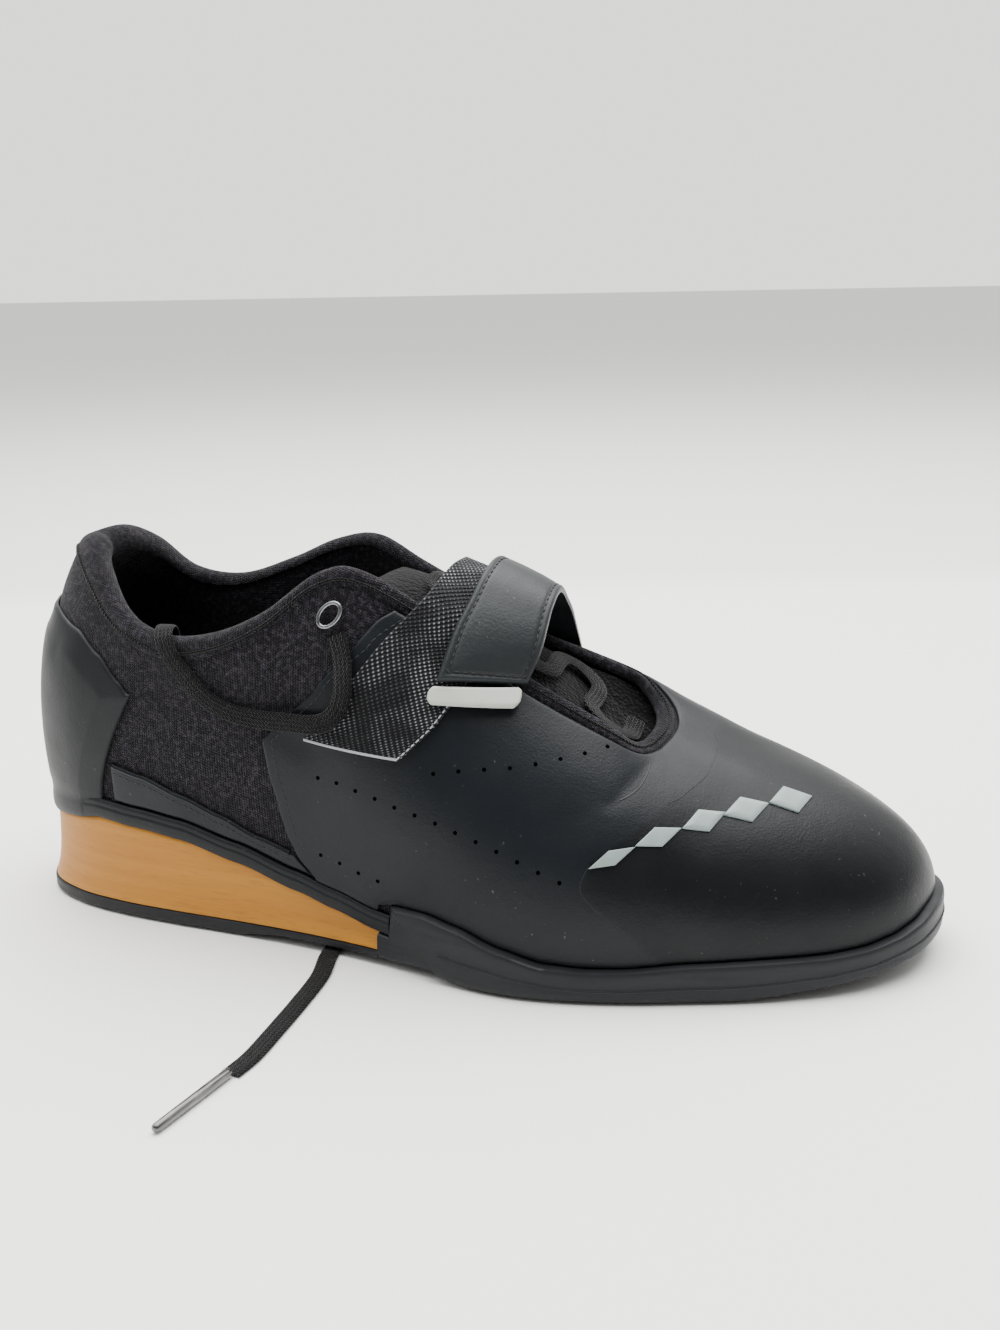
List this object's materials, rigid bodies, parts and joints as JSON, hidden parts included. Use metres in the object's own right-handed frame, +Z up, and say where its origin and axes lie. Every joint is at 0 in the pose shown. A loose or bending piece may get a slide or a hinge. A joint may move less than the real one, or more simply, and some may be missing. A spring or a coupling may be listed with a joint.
{
  "type": "weightlifting shoe",
  "caption": "Black right weightlifting shoe with wood-look heel wedge, knit collar, woven band and instep strap over laced throat.",
  "frame": {"origin": "on the floor under the middle of the heel seat", "axes": "+X from heel to toe, +Y to the inner side of the foot, +Z up"},
  "size_m": [0.3046, 0.1942, 0.1244],
  "materials": {
    "rubber": "matt",
    "wood_print": "satin",
    "moulded_plastic": "satin",
    "lining": "brushed",
    "knit": "ribbed knit",
    "synthetic_leather": "matt, fine grain",
    "spacer_mesh": "open mesh",
    "webbing": "woven, silvery threads",
    "tab_plastic": "satin",
    "wire": "polished",
    "lace": "flat woven",
    "aglet_plastic": "clear, smoky"
  },
  "bodies": {
    "root": {"aglet_lateral": "aglet_plastic", "aglet_medial": "aglet_plastic", "heel_cup": "moulded_plastic", "heel_wedge": "wood_print", "insole": "lining", "lace_end_lateral": "lace", "lace_end_medial": "lace", "lace_ring_lateral": "wire", "lace_ring_medial": "wire", "lace_rows": "lace", "loop_band": "webbing", "outsole": "rubber", "rand_lateral": "synthetic_leather", "rand_medial": "synthetic_leather", "strap": "synthetic_leather", "strap_tab": "tab_plastic", "tongue": "spacer_mesh", "upper": "knit", "vamp": "synthetic_leather"}
  },
  "joints": []
}
